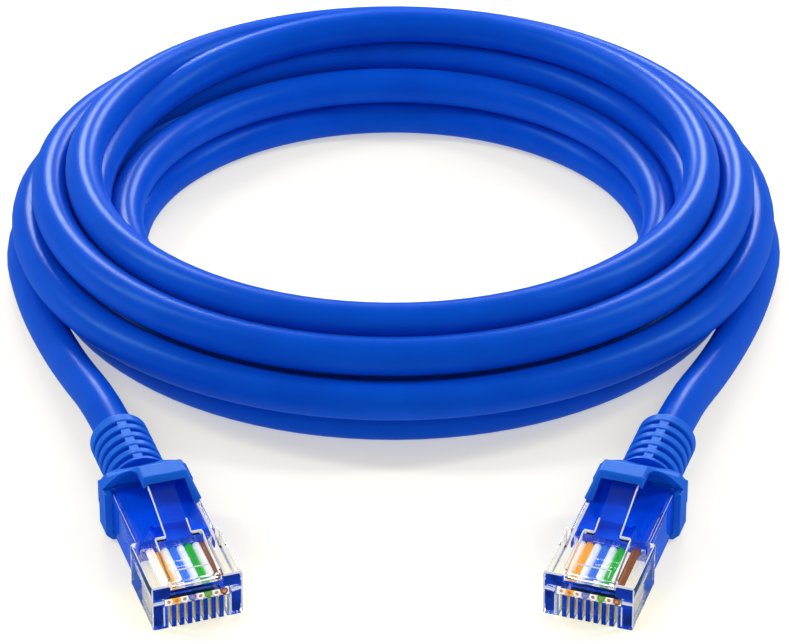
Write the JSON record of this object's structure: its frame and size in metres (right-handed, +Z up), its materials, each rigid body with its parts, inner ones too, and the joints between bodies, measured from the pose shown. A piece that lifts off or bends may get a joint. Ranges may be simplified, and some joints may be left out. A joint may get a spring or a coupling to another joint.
{
  "type": "ethernet patch cable",
  "caption": "Coiled round network cable with a clear modular plug, sprung latch and ribbed boot at each end.",
  "frame": {"origin": "on the surface that the cable lies on, midway between the two plugs", "axes": "+Z up, +X from plug a to plug b, +Y from the plugs towards the coil"},
  "size_m": [0.1124, 0.1485, 0.0182],
  "materials": {
    "jacket": "satin PVC, blue",
    "boot": "moulded PVC, blue",
    "inner_mould": "moulded, blue",
    "clear_plastic": "clear polycarbonate",
    "gold_contact": "gold plated",
    "copper": "bare copper",
    "wire_white_orange": "white with an orange stripe",
    "wire_orange": "orange",
    "wire_white_green": "white with a green stripe",
    "wire_blue": "blue",
    "wire_white_blue": "white with a blue stripe",
    "wire_green": "green",
    "wire_white_brown": "white with a brown stripe",
    "wire_brown": "brown"
  },
  "bodies": {
    "root": {"housing_a": "clear_plastic", "boot_a": "boot", "inner_mould_a": "inner_mould", "jacket_end_a": "jacket", "contact_1_a": "gold_contact", "contact_2_a": "gold_contact", "contact_3_a": "gold_contact", "contact_4_a": "gold_contact", "contact_5_a": "gold_contact", "contact_6_a": "gold_contact", "contact_7_a": "gold_contact", "contact_8_a": "gold_contact", "wire_1_a": "wire_white_orange", "wire_2_a": "wire_orange", "wire_3_a": "wire_white_green", "wire_4_a": "wire_blue", "wire_5_a": "wire_white_blue", "wire_6_a": "wire_green", "wire_7_a": "wire_white_brown", "wire_8_a": "wire_brown", "copper_cores_a": "copper", "housing_b": "clear_plastic", "boot_b": "boot", "inner_mould_b": "inner_mould", "jacket_end_b": "jacket", "contact_1_b": "gold_contact", "contact_2_b": "gold_contact", "contact_3_b": "gold_contact", "contact_4_b": "gold_contact", "contact_5_b": "gold_contact", "contact_6_b": "gold_contact", "contact_7_b": "gold_contact", "contact_8_b": "gold_contact", "wire_1_b": "wire_white_orange", "wire_2_b": "wire_orange", "wire_3_b": "wire_white_green", "wire_4_b": "wire_blue", "wire_5_b": "wire_white_blue", "wire_6_b": "wire_green", "wire_7_b": "wire_white_brown", "wire_8_b": "wire_brown", "copper_cores_b": "copper", "cable_tail_a": "jacket", "cable_coil": "jacket", "cable_tail_b": "jacket"},
    "latch_a": {"latch_a": "clear_plastic"},
    "latch_b": {"latch_b": "clear_plastic"}
  },
  "joints": [
    {"name": "latch_a_press", "type": "hinge", "parent": "root", "child": "latch_a", "pos_m": [-0.02442, -0.01598, 0.00609], "axis": [-0.9432, -0.3322, 0], "range_deg": [0, 8], "stiffness_Nm_per_rad": 0.1},
    {"name": "latch_b_press", "type": "hinge", "parent": "root", "child": "latch_b", "pos_m": [0.02442, -0.01598, 0.00609], "axis": [-0.9432, 0.3322, 0], "range_deg": [0, 8], "stiffness_Nm_per_rad": 0.1}
  ]
}
